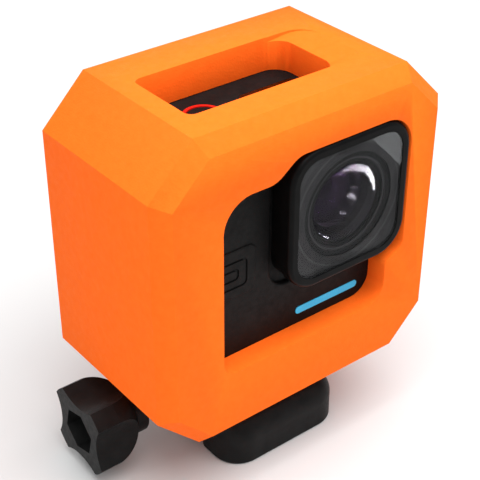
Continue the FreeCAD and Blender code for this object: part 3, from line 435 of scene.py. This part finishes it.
def woven_mesh():
    """Fine blackened wire mesh over the microphone, its holes coloured near black as painted shade."""
    f = Finish("mesh_metal", (0.05, 0.05, 0.05), 0.4, metallic=1.0)
    holes_painted_shade = f.cells(0.3 * MM)
    # Painted shade: the sunken holes are coloured near black for the darkness inside them.
    f.tint(holes_painted_shade, (0.12, 0.12, 0.12), (0.005, 0.005, 0.005), 0.3, 0.6)
    f.rough(f.noise(0.4 * MM), 0.35, 0.55)
    f.bump((holes_painted_shade, -0.08 * MM))
    return f.material


def grey(shade):
    return (shade, shade, shade)


BLACK = grey(0.004)
MATERIALS = {
    "foam_orange": foam_orange,
    "body_black": lambda: grained("body_black", BLACK, grey(0.007), 0.5, 0.68),
    "panel_black": lambda: grained(
        "panel_black", BLACK, (0.007, 0.0067, 0.0065), 0.42, 0.6, 0.3 * MM, 0.014 * MM),
    "accent_blue": lambda: satin("accent_blue", (0.03, 0.5, 0.86), (0.04, 0.56, 0.92), 0.3, 0.45),
    "seal_rubber": lambda: grained("seal_rubber", grey(0.006), grey(0.01), 0.6, 0.8, 0.15 * MM),
    "sink_metal": lambda: metal("sink_metal", (0.018, 0.018, 0.02), (0.035, 0.035, 0.038), 0.38, 0.55),
    "gloss_black": lambda: satin("gloss_black", grey(0.002), BLACK, 0.32, 0.46, 0.06),
    "cover_glass": lambda: coated_pane("cover_glass", (0.95, 0.97, 1.0), 1.15, 0.004),
    "mask_grey": mask_grey,
    "lens_glass": lambda: glass(
        "lens_glass", (0.7, 0.56, 0.78), (0.3, 0.2, 0.36), 0.5, 0.006, 1.13, True),
    "board_green": board_green,
    "sensor_dark": lambda: satin(
        "sensor_dark", (0.01, 0.012, 0.03), (0.03, 0.02, 0.05), 0.08, 0.16, 0.6),
    "chip_black": lambda: grained("chip_black", grey(0.008), grey(0.014), 0.45, 0.6, 0.1 * MM),
    "copper": lambda: metal("copper", (0.6, 0.25, 0.12), (0.75, 0.36, 0.2), 0.3, 0.45, (1, 1, 12)),
    "battery_wrap": lambda: satin("battery_wrap", (0.06, 0.07, 0.09), (0.09, 0.1, 0.12), 0.3, 0.45),
    "steel": lambda: metal(
        "steel", (0.42, 0.42, 0.43), (0.55, 0.55, 0.56), 0.25, 0.42, (10, 1, 1), 0.12 * MM),
    "ring_red": lambda: satin(
        "ring_red", (0.5, 0.004, 0.004), (0.66, 0.008, 0.008), 0.2, 0.32, 0.5, 0.4),
    "display_glass": lambda: glass("display_glass", (0.06, 0.06, 0.07), (0.9, 0.95, 1.0), 0.4, 0.03),
    "light_lens": lambda: satin(
        "light_lens", (0.12, 0.005, 0.004), (0.2, 0.01, 0.008), 0.1, 0.2, 0.5, 0.6),
    "mesh_metal": woven_mesh,
    "finger_plastic": lambda: grained("finger_plastic", BLACK, grey(0.012), 0.4, 0.58),
    "clamp_plastic": lambda: grained(
        "clamp_plastic", grey(0.006), grey(0.01), 0.36, 0.5, specular=0.09),
}


def make_finishes():
    """One material a slot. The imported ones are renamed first, so that the names are free."""
    for packed in bpy.data.materials:
        packed.name = packed.name + ".packed"
    return {slot: make() for slot, make in MATERIALS.items()}


def dress_nodes(finishes):
    """Give every CAD node the finish of its material slot, and the lens barrel its own."""
    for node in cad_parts.values():
        for holder in node.material_slots:
            holder.material = finishes[holder.material.name.split(".")[0]]
    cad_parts["lens_barrel"].material_slots[0].material = barrel_black()


# ---------------------------------------------------------------- foam float

FOAM_EDGE = 0.45 * MM
FOAM_EDGE_STEPS = 3
FOAM_EDGE_ANGLE = math.radians(18)
MERGE_DISTANCE = 0.004 * MM
FLAT_ANGLE = math.radians(0.6)


def merged_copy(node, name):
    """The node's solid as a clean mesh of its own: one vertex a corner, one face a flat."""
    work = bmesh.new()
    work.from_mesh(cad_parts[node].data)
    bmesh.ops.remove_doubles(work, verts=work.verts, dist=MERGE_DISTANCE)
    bmesh.ops.dissolve_limit(work, angle_limit=FLAT_ANGLE, verts=work.verts, edges=work.edges)
    for face in work.faces:
        face.smooth = True
    mesh = bpy.data.meshes.new(name)
    work.to_mesh(mesh)
    work.free()
    piece = bpy.data.objects.new(name, mesh)
    bpy.context.scene.collection.objects.link(piece)
    return piece


def foam_float(finish):
    """The float, with the soft edges that cut foam has."""
    piece = merged_copy("float_foam", "float_block")
    edge = piece.modifiers.new("soft_edge", "BEVEL")
    edge.width = FOAM_EDGE
    edge.segments = FOAM_EDGE_STEPS
    edge.limit_method = "ANGLE"
    edge.angle_limit = FOAM_EDGE_ANGLE
    edge.harden_normals = True
    piece.data.materials.clear()
    piece.data.materials.append(finish)
    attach(piece, "camera")
    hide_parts("float_foam")


make_camera()
make_world()
make_floor()
studio_lamps()
lens_glints()
corner_sheen()
finishes = make_finishes()
dress_nodes(finishes)
foam_float(finishes["foam_orange"])
